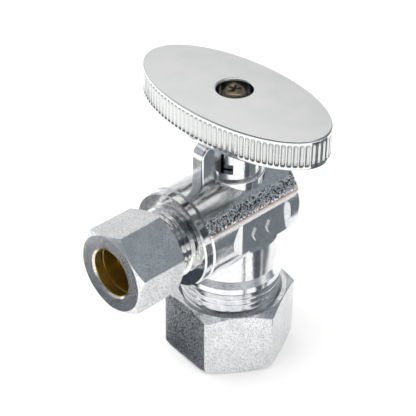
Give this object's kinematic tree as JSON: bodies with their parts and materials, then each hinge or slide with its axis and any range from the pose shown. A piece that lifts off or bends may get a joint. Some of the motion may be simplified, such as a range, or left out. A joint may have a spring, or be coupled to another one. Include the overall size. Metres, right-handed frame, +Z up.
{
  "type": "angle stop valve",
  "caption": "Quarter-turn angle stop valve: chromed brass body, oval fluted handle, compression nuts for a supply pipe below and a riser tube in front.",
  "frame": {"origin": "middle of the inlet nut's outer face, on the inlet tube's axis", "axes": "+Z up the inlet axis and along the stem, -Y out of the outlet, +X across, along the closed handle"},
  "size_m": [0.0454, 0.0444, 0.061],
  "materials": {
    "chrome_on_brass": "polished chrome plate on forged or turned brass",
    "chrome_on_zinc": "bright chrome plate on die-cast zinc",
    "bare_brass": "turned brass",
    "plated_ball": "polished, plated brass",
    "ptfe": "turned PTFE",
    "nitrile_rubber": "moulded",
    "zinc_plated_steel": "zinc plated"
  },
  "bodies": {
    "valve": {"valve_body": "chrome_on_brass", "outlet_adapter": "chrome_on_brass", "adapter_o_ring": "nitrile_rubber", "front_seat": "ptfe", "rear_seat": "ptfe"},
    "handle_and_ball": {"handle": "chrome_on_zinc", "handle_screw": "zinc_plated_steel", "stem": "bare_brass", "stem_thrust_washer": "ptfe", "stem_o_ring_lower": "nitrile_rubber", "stem_o_ring_upper": "nitrile_rubber", "ball": "plated_ball"},
    "outlet_sleeve": {"outlet_ferrule": "bare_brass"},
    "outlet_nut": {"outlet_nut": "chrome_on_brass"},
    "inlet_sleeve": {"inlet_ferrule": "bare_brass"},
    "inlet_nut": {"inlet_nut": "chrome_on_brass"}
  },
  "joints": [
    {"name": "handle_turn", "type": "hinge", "parent": "valve", "child": "handle_and_ball", "pos_m": [0, 0, 0.0338], "axis": [0, 0, 1], "range_deg": [0, 90]},
    {"name": "outlet_nut_advance", "type": "slide", "parent": "valve", "child": "outlet_sleeve", "axis": [0, -1, 0], "range_m": [0, 0.00423]},
    {"name": "outlet_nut_spin", "type": "hinge", "parent": "outlet_sleeve", "child": "outlet_nut", "pos_m": [0, -0.026, 0.0338], "axis": [0, -1, 0], "range_deg": [0, 1440]},
    {"name": "inlet_nut_advance", "type": "slide", "parent": "valve", "child": "inlet_sleeve", "axis": [0, 0, -1], "range_m": [0, 0.00282]},
    {"name": "inlet_nut_spin", "type": "hinge", "parent": "inlet_sleeve", "child": "inlet_nut", "pos_m": [0, 0, 0.007], "axis": [0, 0, -1], "range_deg": [0, 720]}
  ],
  "couplings": [
    {"joint": "outlet_nut_spin", "follows": "outlet_nut_advance", "rad_per_m": 5936.9},
    {"joint": "inlet_nut_spin", "follows": "inlet_nut_advance", "rad_per_m": 4452.7}
  ]
}
